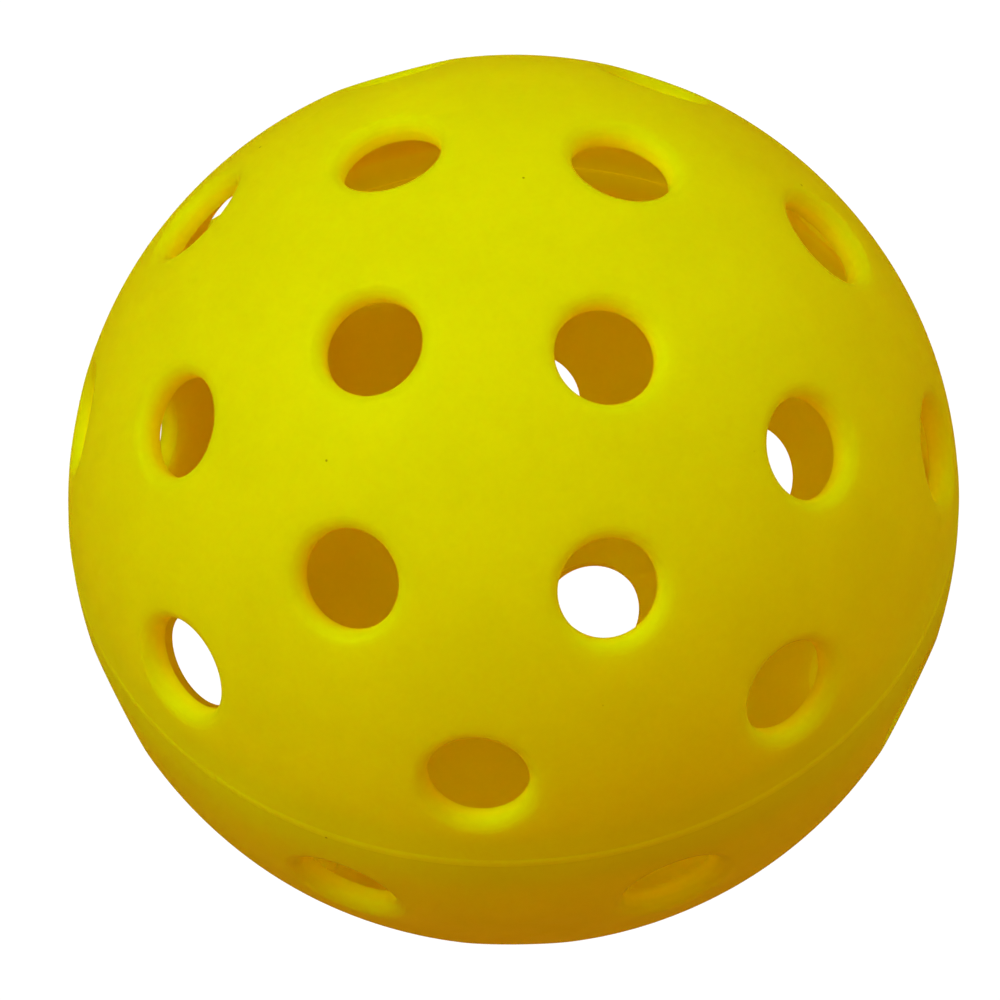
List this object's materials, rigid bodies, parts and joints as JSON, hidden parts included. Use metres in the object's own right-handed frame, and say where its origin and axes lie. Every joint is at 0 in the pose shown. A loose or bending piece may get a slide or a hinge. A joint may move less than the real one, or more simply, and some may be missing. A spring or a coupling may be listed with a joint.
{
  "type": "pickleball ball",
  "caption": "Hollow perforated plastic ball for pickleball: two moulded half shells with rings of round holes, joined by a weld seam round the middle.",
  "frame": {"origin": "the ball's centre", "axes": "+Z along the pole axis, square to the weld seam, towards the upper half; +X midway between the two halves' turns, 12.75 degrees from each"},
  "size_m": [0.0742, 0.0742, 0.074],
  "materials": {
    "shell_plastic": "satin moulded polyethylene, optic yellow, slightly translucent",
    "seam_plastic": "the same plastic, melted and set again in the weld"
  },
  "bodies": {
    "root": {"upper_half_shell": "shell_plastic", "lower_half_shell": "shell_plastic", "weld_seam": "seam_plastic"}
  },
  "joints": []
}
